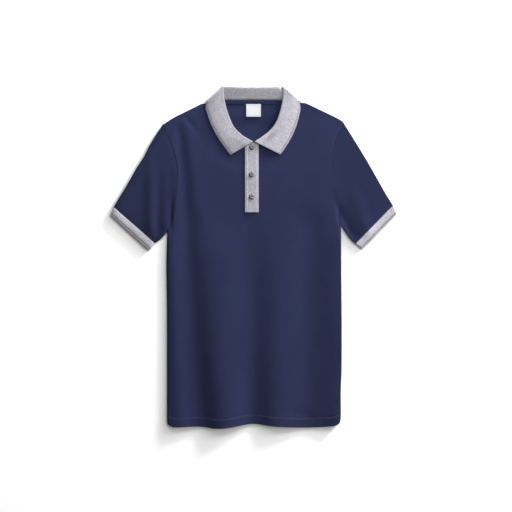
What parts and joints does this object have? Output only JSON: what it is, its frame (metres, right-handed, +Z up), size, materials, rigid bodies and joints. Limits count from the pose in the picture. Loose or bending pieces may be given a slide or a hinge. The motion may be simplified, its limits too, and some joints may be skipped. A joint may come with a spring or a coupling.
{
  "type": "polo shirt",
  "caption": "Short-sleeved knitted polo shirt laid flat on its back, with a contrast rib collar, cuffs and button placket.",
  "frame": {"origin": "centre of the shirt's box, on the surface that it lies on", "axes": "+X to the wearer's left, +Y from the hem to the collar, +Z up from the surface through the back and then the front"},
  "size_m": [0.6166, 0.7378, 0.0133],
  "materials": {
    "navy_pique": "navy pique knit, matt with a faint bloom",
    "grey_melange_rib": "pale grey melange flat-knit rib",
    "navy_tape": "navy woven herringbone tape",
    "woven_label": "off-white woven satin label, bare",
    "grey_button": "grey marbled polyester button"
  },
  "bodies": {
    "root": {"front": "navy_pique", "back": "navy_pique", "sleeve_right": "navy_pique", "sleeve_left": "navy_pique", "cuff_right": "grey_melange_rib", "cuff_left": "grey_melange_rib", "collar": "grey_melange_rib", "placket_top_band": "grey_melange_rib", "placket_under_band": "grey_melange_rib", "neck_tape": "navy_tape", "neck_label": "woven_label", "button_top": "grey_button", "button_middle": "grey_button", "button_low": "grey_button"}
  },
  "joints": []
}
